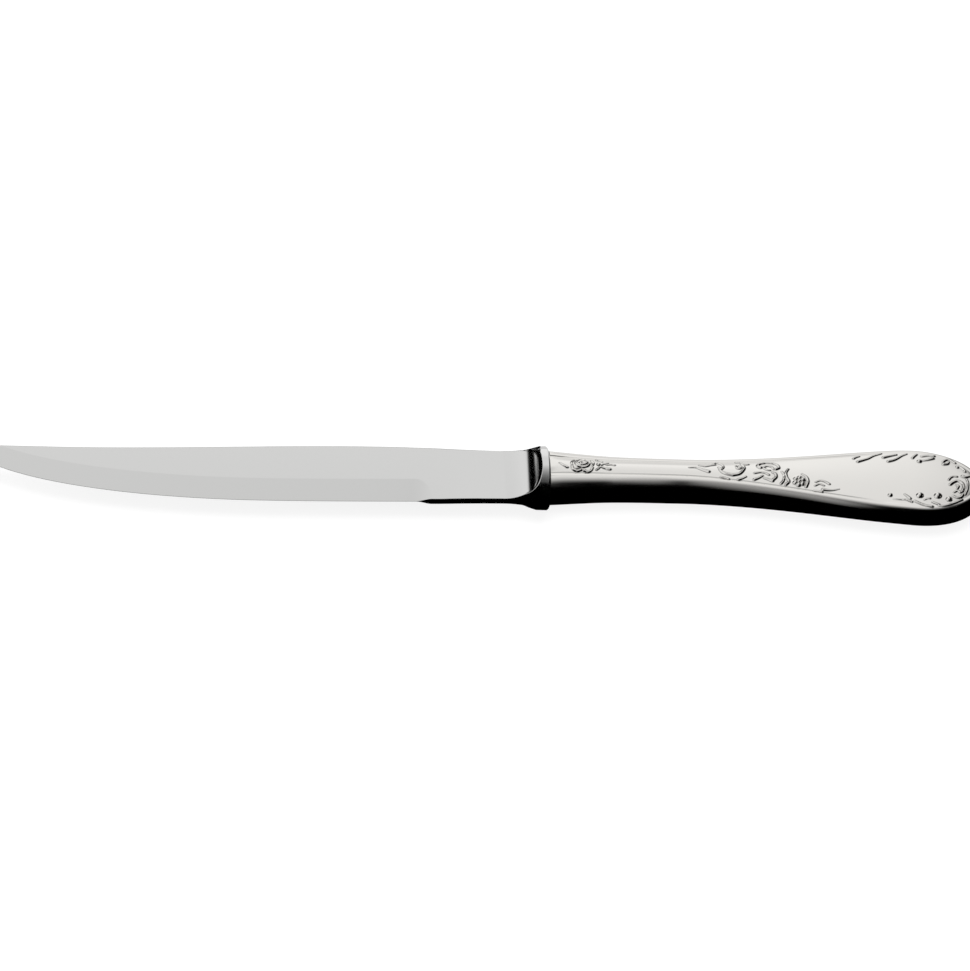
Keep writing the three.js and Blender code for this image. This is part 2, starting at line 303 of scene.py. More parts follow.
bladeGrid = {
    "blade": 150, "tipCrowding": 1.3, "plunge": 26, "ricasso": 14,  # rows, closer together at the tip
    "cove": 40, "rim": 9, "flare": 6, "ring": 12, "rear": 9,
    "spine": 5, "flat": 60, "bevel": 12,  # columns
    "sharpAngle": 35,
}


def spineLine(p):  # level, with a slight hump ahead of the bolster, then a slow fall to the tip
    b = bladeSizes
    rise = b["spineRise"] * smooth(p, 0, b["riseEnd"])
    return b["spine"] + rise - b["spineDrop"] * smooth(p, b["dropStart"], b["dropEnd"])


def edgeLine(p):  # straight under the ricasso, then one sweep to the belly and one up to the tip
    b = bladeSizes
    heel, belly = b["heel"], b["belly"]
    tipY = spineLine(bladeLength) - b["tipHeight"]
    ricasso = [[bolsterSizes["ring"], -b["ricassoDepth"]], [heel, -b["heelDepth"]]]
    toBelly = [[heel, -b["heelDepth"]], [belly - b["bellyLead"], -b["bellyDepth"]], [belly, -b["bellyDepth"]]]
    toTip = [
        [belly, -b["bellyDepth"]], [belly + b["bellyRun"], -b["bellyDepth"]],
        [bladeLength - b["tipRun"], tipY - b["tipRise"]], [bladeLength, tipY],
    ]
    return bezierHeight(p, ricasso, toBelly, toTip)


def bladeSection(p):
    # Half section from the spine's middle to the edge's: rounded spine, flat side down to the grind line,
    # then a straight bevel. At the plunge the grind line drops to the edge along a quarter ellipse, and the
    # edge thickens to the ricasso.
    b, g = bladeSizes, bladeGrid
    p = p[:, None]
    top, bottom = spineLine(p), edgeLine(p.ravel())[:, None]
    pastHeel = np.clip((p - b["heel"]) / (bladeLength - b["heel"]), 0, None)
    share = np.minimum(1, (top - bottom) / b["bevel"])
    half = share * (b["thickness"] + (b["tipThickness"] - b["thickness"]) * pastHeel) / 2
    roundOff = b["spineRound"] * share
    plunge = np.clip((p - b["plungeStart"]) / b["plunge"], 0, 1)
    edge = half + (b["edgeThickness"] / 2 * share - half) * smooth(plunge, 0, 1)
    bevel = b["bevel"] * np.sqrt(1 - (1 - plunge) ** 2)
    grind = np.minimum(bottom + bevel, top - 2 * roundOff)
    turn = np.linspace(0, math.pi / 2, g["spine"])
    spineY = top - roundOff * (1 - np.cos(turn))
    spineZ = half - roundOff * (1 - np.sin(turn))
    drop = (1 - np.cos(np.linspace(0, math.pi, g["flat"] + 1)[1:])) / 2
    flatY = spineY[:, -1:] + (grind - spineY[:, -1:]) * drop
    fall = np.linspace(0, 1, g["bevel"] + 1)[1:]
    bevelY = grind + (bottom - grind) * fall
    bevelZ = half + (edge - half) * fall
    y = np.hstack([top, spineY, flatY, bevelY, bottom])
    z = np.hstack([0 * top, spineZ, half + 0 * flatY, bevelZ, 0 * top])
    return np.stack([-p + 0 * y, y, z], -1)


def ovalAngles():  # one angle round the bolster's oval for each point of the half section
    g = bladeGrid
    flatAngle = math.asin(bladeSizes["thickness"] / 2 / bolsterSizes["halfThickness"])
    side = np.linspace(0, flatAngle, g["spine"] + 1)
    drop = np.cos(np.linspace(0, math.pi, g["flat"] + 1)[1:])
    flat = np.arccos(math.cos(flatAngle) * drop)
    below = math.pi - np.linspace(flatAngle, 0, g["bevel"] + 2)[1:]
    return np.concatenate([side, flat, below])


def ovalSide(angle):  # share of the half thickness round the oval, more pointed than an ellipse
    return np.abs(np.sin(angle)) ** bolsterSizes["pointed"]


def rimLine(angle):  # x where the cove's arc climbs to the oval, and how strongly its lip is turned up there
    b = bolsterSizes
    climb = np.clip(b["halfThickness"] * ovalSide(angle) - bladeSizes["thickness"] / 2, 0, None)
    rim = -b["coveStart"] + np.sqrt(np.clip(b["cove"] ** 2 - (b["cove"] - climb) ** 2, 0, None))
    return rim, smooth(rim, *b["lipFade"])


def kneeLine(angle):  # x where the flare meets the ring
    return -bolsterSizes["ring"] + bolsterSizes["ringLean"] * np.cos(angle)


def endLine(angle):  # x where the ring's rear starts to round off, earlier at the top and underneath
    return -bolsterSizes["end"] - bolsterSizes["endMore"] * np.cos(angle) ** 2


def bolsterPoint(x, angle):
    # Oval section whose height grows evenly up to the ring. The cove caps its thickness: a circle's arc
    # that leaves the flat of the ricasso level and climbs to the ring, steeper in a narrow lip below the
    # rim. The rim itself is rounded.
    b, s = bolsterSizes, bladeSizes
    rim, lip = rimLine(angle)
    flare = np.clip(1 + (x - kneeLine(angle)) / (b["flare"] - b["flareLean"] * np.cos(angle)), 0, 1)
    oval = b["rootHalfHeight"] + (b["halfHeight"] - b["rootHalfHeight"]) * flare
    shape = x.shape
    top = softMax(spineLine(-x), oval, b["rootRound"])
    bottom = -softMax(-edgeLine(-x.ravel()).reshape(shape), oval, b["rootRound"])
    into = np.clip(x + b["coveStart"], 0, b["cove"])
    cap = s["thickness"] / 2 + b["cove"] - np.sqrt(b["cove"] ** 2 - into ** 2)
    cap += b["lipRise"] * lip * np.clip(1 - (rim - x) / b["lipWidth"], 0, 2) ** 2
    y = (top + bottom) / 2 + (top - bottom) / 2 * np.cos(angle)
    z = softMin(cap, b["halfThickness"] * ovalSide(angle), b["rimRound"])
    return np.stack([x, y, np.maximum(z, 0)], -1)


def bolsterSections():
    # Rows run from the ricasso over the cove to the rim, then along the ring. Every row crosses the rim at
    # the same step, because x is stretched so that the cove meets the oval there.
    b, g = bolsterSizes, bladeGrid
    angle = ovalAngles()[None, :]
    rim, lip = rimLine(angle)
    rim = rim - b["lipPull"] * b["lipRise"] * lip  # the lip brings the rim a little forward
    start = -b["coveStart"] - b["blendLength"]
    rimRows = np.linspace(-1, 1, g["rim"])[:, None] * b["rimRound"]
    toRim = np.linspace(0, 1, g["cove"], endpoint=False)[:, None]
    # one close row on each side keeps the knee crisp where the flare meets the ring
    toKnee = np.append(np.linspace(0, 0.9, g["flare"])[1:], [0.99, 1])[:, None]
    toRear = np.append([0.01], np.linspace(0, 1, g["ring"] + 1)[1:])[:, None]
    top = rim + rimRows[-1]
    knee = np.maximum(top + b["kneeGap"], kneeLine(angle))
    x = np.vstack([
        start + (rim + rimRows[0] - start) * toRim,
        rim + rimRows,
        top + (knee - top) * toKnee,
        knee + (endLine(angle) - knee) * toRear,
    ])
    return bolsterPoint(x, angle + 0 * x)


def rearSections():
    # The ring's rounded rear, its flat back, then the tang: a tapering bar inside the cement
    b, t = bolsterSizes, tangSizes
    angle = ovalAngles()[None, :]
    turn = np.linspace(b["endTurn"], math.pi / 2, bladeGrid["rear"])[1:, None]
    drop = 1 - np.cos(turn) / math.cos(b["endTurn"])
    left = (1 - np.sin(turn)) / (1 - math.sin(b["endTurn"]))
    y = (b["halfHeight"] - b["endDropY"] * drop) * np.cos(angle)
    z = (b["halfThickness"] - b["endDropZ"] * drop) * ovalSide(angle)
    ring = np.stack([endLine(angle) * left, y, z], -1)
    x = np.array([0, t["length"]])[:, None]
    width = t["rootHalfWidth"] + (t["endHalfWidth"] - t["rootHalfWidth"]) * x / t["length"]
    reach = 1 / np.maximum(np.abs(np.cos(angle)), np.abs(np.sin(angle)))
    y = width * np.cos(angle) * reach
    z = t["halfThickness"] * np.sin(angle) * reach + 0 * x
    return np.vstack([ring, np.stack([x + 0 * y, y, z], -1)])


def makeBlade():
    b, g = bladeSizes, bladeGrid
    plungeEnd = b["plungeStart"] + b["plunge"]
    bladeStart = bolsterSizes["coveStart"] + bolsterSizes["blendLength"]
    tipward = 1 - np.linspace(0, 1, g["blade"], endpoint=False) ** g["tipCrowding"]
    p = np.concatenate([
        plungeEnd + (bladeLength - plungeEnd) * tipward,
        b["plungeStart"] + b["plunge"] * np.linspace(1, 0, g["plunge"]) ** 2,
        b["plungeStart"] + (bladeStart - b["plungeStart"]) * np.linspace(0, 1, g["ricasso"])[1:-1],
    ])
    blade = bladeSection(p)
    toOval = smooth(-p, -b["plungeStart"], -bladeStart)[:, None, None]
    oval = bolsterPoint(-p[:, None] + 0 * ovalAngles(), ovalAngles()[None, :])
    bolster = bolsterSections()
    half = np.vstack([blade + (oval - blade) * toOval, bolster, rearSections()])
    loops = np.concatenate([half, half[:, -2:0:-1] * [1, 1, -1]], 1)
    rows, columns = loops.shape[:2]
    faces = tubeFaces(rows, columns)[:, ::-1].tolist()
    faces += [list(range(columns)), list(range(rows * columns - 1, (rows - 1) * columns - 1, -1))]
    piece = makeMesh("knife_blade", loops.reshape(-1, 3), faces, weld=0)
    # the grind lines and the ring's rear edge stay crisp, and so does every corner
    piece.data.set_sharp_from_angle(angle=math.radians(g["sharpAngle"]))
    grindColumn = g["spine"] + g["flat"]
    edges = np.zeros(len(piece.data.edges) * 2, np.int32)
    piece.data.edges.foreach_get("vertices", edges)
    column = edges.reshape(-1, 2) % columns
    row = edges.reshape(-1, 2) // columns
    onGrind = np.isin(column, [grindColumn, columns - grindColumn]).all(1) & (row < len(p)).all(1)
    onGrind &= column[:, 0] == column[:, 1]
    onEnd = (row == len(p) + len(bolster) - 1).all(1)
    sharp = np.zeros(len(piece.data.edges), bool)
    layer = piece.data.attributes.get("sharp_edge")
    layer = layer or piece.data.attributes.new("sharp_edge", "BOOLEAN", "EDGE")
    layer.data.foreach_get("value", sharp)
    layer.data.foreach_set("value", sharp | onGrind | onEnd)
    finishPiece(piece, groundSteel(), "blade_steel", "blade")


# Handle: two stamped half shells
handleSizes = {
    "mouth": 6.1, "mouthFall": 1.15, "mouthRun": 14,  # half widths in plan, and the outline's handles
    "waistAt": 29, "waist": 4.55, "waistLead": 14, "waistTail": 24,
    "widestAt": 82, "widest": 9.65, "swellLead": 15, "droop": 0.85, "droopStart": 76,
    "neckThickness": 4.16, "buttThickness": 2.95, "thinStart": 24, "thinEnd": 80,  # half thicknesses
    "mouthSwelling": 0.38, "swellingEnd": 14,
    "mouthPanel": 2.6, "panelFall": 0.85, "panelRun": 8, "neckPanel": 1.95,  # the panel's half widths
    "panelLead": 9, "panelTail": 16, "panelSwell": 7.5, "buttShoulder": 1.7,
    "crown": 0.25, "groove": 0.3, "grooveDepth": 0.18, "upperGroove": 0.6, "fadeStart": 66, "fadeEnd": 78,
    "wall": 0.6,
}
handleGrid = {
    "zones": [(2, 0.3), (14.8, 0.14), (30.6, 0.8), (65, 0.14), (67.5, 0.3), (82, 0.14)],  # end, row step
    "butt": 112, "shoulder": 13, "groove": 6, "panel": 54, "innerStep": 12, "sharpAngle": 60,
}


def handleLines():
    # Outline and panel border, row by row: Bezier curves from mouth to waist to widest point, then quarter
    # ellipses round the butt. Returns the two points of each row, in plan.
    h, g = handleSizes, handleGrid
    starts = [0] + [end for end, step in g["zones"]]
    x = np.concatenate([
        np.linspace(start, end, round((end - start) / step), endpoint=False)
        for start, (end, step) in zip(starts, g["zones"])
    ] + [[h["widestAt"]]])
    turn = np.linspace(0, math.pi / 2, g["butt"])[1:]

    def line(mouth, run, fall, waist, lead, tail, widest, swell, end):
        at, far = h["waistAt"], h["widestAt"]
        neck = [[0, mouth], [run, mouth - fall], [at - lead, waist], [at, waist]]
        body = [[at, waist], [at + tail, waist], [far - swell, widest], [far, widest]]
        straight = np.stack([x, bezierHeight(x, neck, body)], 1)
        bend = np.stack([far + (end - far) * np.sin(turn), widest * np.cos(turn)], 1)
        bend[-1, 1] = 0
        return np.vstack([straight, bend])

    outline = line(
        h["mouth"], h["mouthRun"], h["mouthFall"], h["waist"], h["waistLead"], h["waistTail"],
        h["widest"], h["swellLead"], handleLength,
    )
    border = line(
        h["mouthPanel"], h["panelRun"], h["panelFall"], h["neckPanel"], h["panelLead"], h["panelTail"],
        h["widest"] - h["buttShoulder"], h["panelSwell"], handleLength - h["buttShoulder"],
    )
    return outline, border


def handleSurface():
    # One half shell as a grid: rows along the handle, columns from the upper seam over the panel to the
    # lower seam. The shoulder is a quarter ellipse, then come the groove, shallower on the upper side, and
    # the slightly crowned panel.
    h, g = handleSizes, handleGrid
    outline, border = handleLines()
    across = outline - border
    across /= np.linalg.norm(across, axis=1)[:, None]
    thinning = smooth(border[:, 0], h["thinStart"], h["thinEnd"])
    half = h["neckThickness"] + (h["buttThickness"] - h["neckThickness"]) * thinning
    half += h["mouthSwelling"] * (1 - smooth(border[:, 0], 0, h["swellingEnd"]))
    crest = border + across * h["groove"]
    field = border - across * h["groove"]
    field[-1, 1] = 0
    depth = h["grooveDepth"] * (1 - smooth(border[:, 0], h["fadeStart"], h["fadeEnd"]))
    turn = np.linspace(0, math.pi / 2, g["shoulder"], endpoint=False)
    shoulder = crest[:, None] + (outline - crest)[:, None] * np.cos(turn)[:, None]
    shoulderZ = half[:, None] * np.sin(turn)
    over = np.linspace(0, 1, g["groove"], endpoint=False)
    groove = crest[:, None] + (field - crest)[:, None] * over[:, None]
    dent = depth[:, None] * np.sin(over * math.pi) ** 2
    grooveZ = half[:, None] - dent * h["upperGroove"]
    share = np.linspace(1, 0, g["panel"])
    panel = field[:, None] * [1, 0] + field[:, None] * [0, 1] * share[:, None]
    width = np.clip(field[:, 1] / h["neckPanel"], 0, 1)
    panelZ = half[:, None] + h["crown"] * width[:, None] * (1 - share ** 2)
    plan = np.concatenate([shoulder, groove, panel], 1)
    z = np.hstack([shoulderZ, grooveZ, panelZ])
    upper = np.concatenate([plan, z[:, :, None]], 2)
    lower = upper * [1, -1, 1]
    lower[:, g["shoulder"]:g["shoulder"] + g["groove"], 2] = half[:, None] - dent
    return np.concatenate([upper, lower[:, -2::-1]], 1)


def surfaceNormals(grid):  # cross product of the steps along rows and columns
    along = np.gradient(grid, axis=0)
    across = np.gradient(grid, axis=1)
    normal = np.cross(across, along)
    length = np.linalg.norm(normal, axis=2, keepdims=True)
    tiny = 1e-9
    return np.where(length > tiny, normal / np.maximum(length, tiny), [0, 0, 1])


# Relief on the panel, in millimetres from the mouth and from the axis. A stroke is its half widths at
# the start and the end, then the points that it runs through. A bead is its place and radius, a mound its
# place, its two radii and its height. All lean a little along the handle.
reliefLook = {
    "thickness": 0.92, "height": 0.85, "beadHeight": 0.85,  # times the half widths and radii below
    # hollowTarnishAndShade sets how dark the hollows are painted: tarnish and painted shade together
    "falloff": 1.5, "hollow": 0.16, "hollowTarnishAndShade": 0.5, "hollowFade": (0.02, 0.1),
    "shift": -0.1, "lean": 0.08,
}
roseSpray = [
    (0.2, 0.34, [(2.2, 0.3), (3.0, -0.3), (3.9, -0.9)]),  # leaf
    (0.3, 0.3, [(7.7, 0.5), (7.2, 0.85), (6.7, 0.45), (7.1, 0.0), (7.9, 0.2), (8.2, 0.8)]),  # heart
    (0.28, 0.28, [(5.7, 0.2), (6.3, -0.5), (7.3, -0.75), (8.3, -0.4), (8.7, 0.3)]),
    (0.26, 0.26, [(5.8, 0.7), (6.1, 1.35), (6.8, 1.75), (7.6, 1.5)]),
    (0.26, 0.2, [(8.0, 1.6), (8.7, 1.2), (9.0, 0.6)]),
    (0.3, 0.36, [(4.9, -0.5), (5.2, -1.3), (6.0, -1.7), (6.9, -1.45)]),  # outer petals
    (0.36, 0.28, [(7.7, -1.5), (8.4, -1.75), (9.2, -1.4), (9.5, -0.6)]),
    (0.24, 0.24, [(5.3, 1.4), (4.8, 0.6), (4.9, -0.1)]),
    (0.24, 0.24, [(9.2, 1.5), (9.7, 0.7), (9.5, 0.0)]),
    (0.26, 0.2, [(10.3, 1.85), (11.0, 1.7), (11.6, 1.3)]),  # sprig
    (0.28, 0.2, [(10.4, -1.15), (10.9, -0.7), (11.3, 0.0), (12.0, 0.6), (12.9, 0.9)]),
    (0.22, 0.4, [(11.2, -0.2), (12.3, -0.65), (13.4, -0.85)]),
    (0.2, 0.26, [(12.6, 0.3), (13.5, 0.5), (14.4, 0.35)]),
]
scrollCluster = [
    (0.18, 0.45, [(31.0, 0.3), (32.5, 0.35), (33.8, -0.15), (35.4, -0.7)]),  # leaves
    (0.2, 0.25, [(33.2, 1.1), (34.5, 0.8), (35.6, 1.1), (36.8, 1.45)]),
    (0.25, 0.3, [(36.3, 1.6), (37.1, 2.15), (38.2, 1.6), (38.6, 0.75), (38.1, 0.1), (37.6, 0.6)]),  # scroll
    (0.3, 0.45, [(37.8, 0.0), (38.5, -0.75), (39.6, -1.15), (40.8, -1.4)]),
    (0.45, 0.3, [(40.8, -1.4), (42.2, -1.0), (43.1, 0.2), (43.2, 1.1), (42.6, 1.9)]),
    (0.26, 0.26, [(41.5, 1.3), (41.7, 0.6), (42.3, 0.5), (42.6, 1.0), (42.2, 1.4)]),
    (0.2, 0.25, [(41.3, 2.5), (42.3, 2.5), (43.3, 1.9), (44.2, 2.0)]),
    (0.2, 0.32, [(38.1, -2.0), (39.0, -2.2), (39.9, -2.5)]),
    (0.32, 0.25, [(42.0, -2.5), (42.9, -2.2), (43.7, -1.7)]),
]
shellwork = [
    (0.3, 0.5, [(47.7, 2.6), (46.7, 2.3), (46.3, 1.6), (46.9, 1.1)]),
    (0.26, 0.4, [(47.6, 2.8), (49.4, 2.75), (50.6, 2.2), (51.0, 1.3), (50.3, 0.85)]),
    (0.28, 0.25, [(47.6, 1.2), (48.4, 1.6), (49.4, 1.4), (49.8, 0.7)]),
    (0.25, 0.25, [(47.6, 0.9), (48.3, 0.4), (49.0, 0.3)]),
    (0.3, 0.25, [(45.6, -0.6), (46.8, -0.35), (47.9, -0.5), (48.8, -1.0)]),
    (0.3, 0.42, [(49.6, -0.2), (50.3, -0.6), (50.4, -1.5), (49.7, -2.4)]),
    (0.4, 0.25, [(45.6, -2.4), (46.6, -1.9), (47.4, -1.3)]),
    (0.25, 0.4, [(47.8, -1.9), (48.7, -2.2), (49.7, -2.6)]),
    (0.25, 0.35, [(51.7, 0.2), (52.2, -0.8), (52.1, -2.3), (51.6, -3.2)]),  # upright scrolls
    (0.28, 0.42, [(53.1, 1.1), (52.6, -0.1), (52.8, -1.4), (53.3, -2.5), (52.7, -3.4)]),
]
rosette = [
    (0.22, 0.4, [(56.2, -0.2), (57.2, -1.0), (57.6, -2.3), (57.2, -3.8)]),  # husk round its side
    (0.2, 0.3, [(59.3, -2.4), (60.3, -1.9), (61.5, -2.2), (62.4, -2.8)]),  # end spray
    (0.25, 0.2, [(59.2, -3.4), (60.2, -2.9), (61.2, -3.3)]),
    (0.45, 0.12, [(61.0, -4.4), (62.0, -4.55), (63.2, -4.5), (64.6, -4.1)]),
    (0.2, 0.32, [(59.0, -4.8), (59.9, -4.9), (60.8, -5.0)]),
]
upperFronds = [
    (0.3, 0.2, [(67.7, 5.3), (68.2, 5.7), (69.0, 6.1)]),
    (0.42, 0.2, [(68.7, 4.4), (70.0, 5.0), (71.0, 5.5), (72.2, 6.4), (73.9, 7.2)]),
    (0.42, 0.25, [(74.4, 6.0), (75.8, 6.5), (77.3, 7.0)]),
    (0.42, 0.2, [(75.5, 4.8), (76.6, 5.2), (77.5, 5.8), (78.5, 6.7), (79.6, 7.4)]),
    (0.35, 0.25, [(80.9, 6.2), (81.3, 6.8), (81.8, 7.4)]),
    (0.25, 0.4, [(82.5, 5.4), (84.2, 5.9), (85.5, 6.5)]),
    (0.3, 0.35, [(82.9, 6.9), (84.4, 7.3), (85.7, 7.3)]),
    (0.35, 0.3, [(87.7, 5.7), (88.3, 6.3), (89.1, 6.5), (90.4, 5.6)]),
    (0.25, 0.45, [(89.0, 5.8), (88.7, 5.1), (87.8, 4.9)]),
]
buttScrolls = [
    (0.3, 0.3, [(89.0, 0.2), (89.4, 0.9), (90.0, 1.3), (90.8, 1.3)]),
    (0.42, 0.4, [(89.3, -1.2), (90.1, -0.4), (91.0, 0.0), (92.0, -0.6), (92.3, -1.8), (92.0, -3.0)]),
    (0.3, 0.3, [(90.9, -2.3), (91.2, -1.5), (90.7, -1.3)]),
    (0.25, 0.35, [(90.2, -3.4), (91.0, -2.9), (91.6, -3.3)]),
    (0.4, 0.3, [(92.2, -3.9), (91.8, -4.6), (90.9, -4.9), (90.0, -4.5)]),
    (0.3, 0.3, [(93.0, 0.6), (93.3, -0.6), (93.2, -2.2), (92.7, -3.8)]),  # rim band
    (0.5, 0.3, [(92.1, 1.5), (92.8, 1.3), (93.6, 1.6)]),
    (0.3, 0.4, [(91.6, 4.4), (92.2, 3.8), (92.6, 3.1)]),
    (0.2, 0.35, [(79.2, -4.9), (79.8, -5.4), (80.5, -6.1)]),  # lower rim
    (0.15, 0.3, [(76.8, -6.4), (78.3, -6.5), (79.6, -6.5), (80.9, -7.0)]),
    (0.3, 0.35, [(81.5, -6.7), (82.6, -7.3), (83.9, -7.8), (85.4, -8.0)]),
    (0.25, 0.3, [(85.4, -6.7), (86.1, -7.0), (86.9, -7.3)]),
    (0.25, 0.35, [(86.9, -7.6), (88.4, -7.4), (90.3, -6.5), (92.0, -5.4)]),
    (0.2, 0.25, [(83.6, -6.2), (84.2, -5.8), (84.9, -5.7)]),
]
beads = [
    (55.6, -2.4, 0.42), (56.5, -1.85, 0.5), (55.7, -1.3, 0.5), (54.8, -1.75, 0.5), (54.7, -2.85, 0.5),
    (55.5, -3.45, 0.5), (56.4, -3.05, 0.5), (10.8, 0.4, 0.45), (76.0, -5.3, 0.5), (82.6, -5.0, 0.75),
    (86.6, -4.75, 0.8), (89.1, -5.5, 0.68), (82.4, 5.3, 0.5), (90.9, 4.3, 0.4),
]
mounds = [(7.2, 0.1, 2.5, 1.8, 0.3), (55.6, -2.35, 1.8, 1.9, 0.25), (48.5, 0.2, 2.6, 2.7, 0.15)]


def smoothLine(points):  # Catmull-Rom curve through the points
    p = np.array(points, float)
    p = np.vstack([2 * p[0] - p[1], p, 2 * p[-1] - p[-2]])
    a, b, c, d = p[:-3, None], p[1:-2, None], p[2:-1, None], p[3:, None]
    t = np.linspace(0, 1, 8, endpoint=False)[None, :, None]
    bend, twist = a - 2.5 * b + 2 * c - d / 2, 1.5 * (b - c) + (d - a) / 2
    line = b + (c - a) * t / 2 + bend * t ** 2 + twist * t ** 3
    return np.vstack([line.reshape(-1, 2), p[-2]])


def relief(x, y):
    # Height of the stamped ornament, and how strongly each spot beside it is darkened by tarnish and painted
    # shade.
    # A stroke is a rounded ridge that fades out over its half width; a bead is a dome. Hollows are the narrow
    # band along their feet.
    look = reliefLook
    x = x - look["shift"] - look["lean"] * y
    height = np.zeros_like(x)
    hollow = np.zeros_like(x)
    for start, end, points in roseSpray + scrollCluster + shellwork + rosette + upperFronds + buttScrolls:
        line = smoothLine(points)
        margin = max(start, end) + look["hollow"]
        low, high = line.min(0) - margin, line.max(0) + margin
        near = (x > low[0]) & (x < high[0]) & (y > low[1]) & (y < high[1])
        spot = np.stack([x[near], y[near]], 1)[:, None]
        first, step = line[:-1], np.diff(line, axis=0)
        along = np.clip(((spot - first) * step).sum(2) / (step ** 2).sum(1), 0, 1)
        gap = np.linalg.norm(spot - first - along[:, :, None] * step, axis=2)
        nearest = gap.argmin(1)
        gap = gap[np.arange(len(gap)), nearest]
        half = look["thickness"] * (start + (end - start) * nearest / len(step))
        ridge = look["height"] * half * np.clip(1 - (gap / half) ** 2, 0, None) ** look["falloff"]
        height[near] = np.maximum(height[near], ridge)
        hollow[near] = np.maximum(hollow[near], np.clip(1 - np.abs(gap - half) / look["hollow"], 0, None))
    for beadX, beadY, radius in beads:
        gap = np.hypot(x - beadX, y - beadY)
        dome = look["beadHeight"] * radius * np.sqrt(np.clip(1 - (gap / radius) ** 2, 0, None))
        height = np.maximum(height, dome)
        hollow = np.maximum(hollow, np.clip(1 - np.abs(gap - radius) / look["hollow"], 0, None))
    hollow *= 1 - smooth(height, *look["hollowFade"])
    for moundX, moundY, radiusX, radiusY, rise in mounds:
        away = ((x - moundX) / radiusX) ** 2 + ((y - moundY) / radiusY) ** 2
        height = height + rise * np.clip(1 - away, 0, None) ** look["falloff"]
    # the hollows' darkening is tarnish and painted shade
    return height, hollow * look["hollowTarnishAndShade"]


def makeShell(name, side, material, slot, node):
    h, g = handleSizes, handleGrid
    base = handleSurface()
    normal = surfaceNormals(base)
    normal[-1, :, 1] = 0
    height, hollow = relief(base[:, :, 0], base[:, :, 1])
    outer = base + normal * height[:, :, None]
    inner = (base - normal * h["wall"])[:, ::g["innerStep"]]
    inner[:, [0, -1], 2] = 0
    inner[0, :, 0] = 0
    inner[-1, :, 1] = 0
    rows, columns = outer.shape[:2]
    fewer = inner.shape[1]
    first = rows * columns
    outerFaces = sheetFaces(rows, columns)
    innerFaces = first + sheetFaces(rows, fewer)[:, ::-1]
    row = np.arange(rows - 1)
    upperSeam = np.stack([
        row * columns, (row + 1) * columns,
        first + (row + 1) * fewer, first + row * fewer,
    ], 1)
    ends = columns - 1, fewer - 1
    lowerSeam = np.stack([
        row * columns + ends[0], first + row * fewer + ends[1],
        first + (row + 1) * fewer + ends[1], (row + 1) * columns + ends[0],
    ], 1)
    faces = np.vstack([outerFaces, innerFaces, upperSeam, lowerSeam]).tolist()
    step = g["innerStep"]
    for k in range(fewer - 1):  # the mouth's narrow edge
        faces.append([*range(step * (k + 1), step * k - 1, -1), first + k, first + k + 1])
    points = np.concatenate([outer.reshape(-1, 3), inner.reshape(-1, 3)]) * [1, 1, side]
    points[:, 1] -= h["droop"] * smooth(points[:, 0], h["droopStart"], handleLength)
    if side > 0:
        faces = [f[::-1] for f in faces]
    # tarnish and painted shade along the relief's feet; the inside gets none
    tarnish_and_shade = np.concatenate([hollow.ravel(), np.zeros(rows * fewer)])
    piece = makeMesh(name, points, faces, tarnish_and_shade)
    piece.data.set_sharp_from_angle(angle=math.radians(g["sharpAngle"]))
    finishPiece(piece, material, slot, node)


makeBlade()
silver = polishedSilver()
makeShell("handle_front", 1, silver, "handle_silver", "handle_front_shell")
makeShell("handle_back", -1, silver, "handle_silver", "handle_back_shell")
for node, material in (("seam_solder", runSolder()), ("cement_core", pouredCement())):
    bpy.data.objects[node].material_slots[0].material = material
print("pieces made, solder and cement dressed")

# Stage and camera
cameraView = {
    "azimuth": -8, "elevation": 47, "roll": 7.33,  # degrees
    "lens": 400, "pixelsPerMm": 4.52, "farthest": 100,
}
photoSize = {"width": 970, "height": 971, "jointX": 548, "jointY": 477.7}  # pixels


def placeCamera():
    c, s = cameraView, photoSize
    turn, lift = math.radians(c["azimuth"]), math.radians(c["elevation"])
    right = np.array([math.cos(turn), math.sin(turn), 0])
    look = np.array([-math.sin(turn) * math.cos(lift), math.cos(turn) * math.cos(lift), -math.sin(lift)])
    up = np.cross(right, look)
    tip = math.radians(c["roll"])
    right, up = right * math.cos(tip) + up * math.sin(tip), up * math.cos(tip) - right * math.sin(tip)
    perPixel = mm / c["pixelsPerMm"]
    aside = (s["jointX"] - (s["width"] - 1) / 2) * perPixel
    above = ((s["height"] - 1) / 2 - s["jointY"]) * perPixel
    data = bpy.data.cameras.new("camera")
    data.lens = c["lens"]
    data.clip_end = c["farthest"]
    distance = s["height"] * perPixel * c["lens"] / data.sensor_width
    camera = bpy.data.objects.new("camera", data)
    bpy.context.scene.collection.objects.link(camera)
    middle = joint - right * aside - up * above
    turned = Matrix((right, up, -look)).transposed()
    camera.matrix_world = Matrix.Translation(Vector(middle - look * distance)) @ turned.to_4x4()
    bpy.context.scene.camera = camera


placeCamera()
bpy.context.scene.view_settings.view_transform = "Standard"

stageLook = {"diffuseSky": 0.5, "floorColor": "#8C8C8C", "floorGlow": 0.85, "floorHalf": 4}


def seenDirectly(tree):  # 1 on camera, mirror and see-through rays, 0 on the rays that light things
    path = addNode(tree, "ShaderNodeLightPath").outputs
    first = addNode(
        tree, "ShaderNodeMath", {0: path["Is Camera Ray"], 1: path["Is Glossy Ray"]}, operation="ADD")
    both = addNode(
        tree, "ShaderNodeMath", {0: first.outputs[0], 1: path["Is Transmission Ray"]},
        operation="ADD", use_clamp=True,
    )
    return both.outputs[0]


def makeWorld():
    world = bpy.data.worlds.new("studio")
    world.use_nodes = True
    tree = world.node_tree
    tree.nodes.clear()
    level = addNode(
        tree, "ShaderNodeMapRange", {"Value": seenDirectly(tree)}, To_Min=stageLook["diffuseSky"], To_Max=1)
    sky = addNode(tree, "ShaderNodeBackground", {"Strength": level.outputs["Result"]}, Color=(1, 1, 1, 1))
    addNode(tree, "ShaderNodeOutputWorld", {"Surface": sky.outputs["Background"]})
    bpy.context.scene.world = world


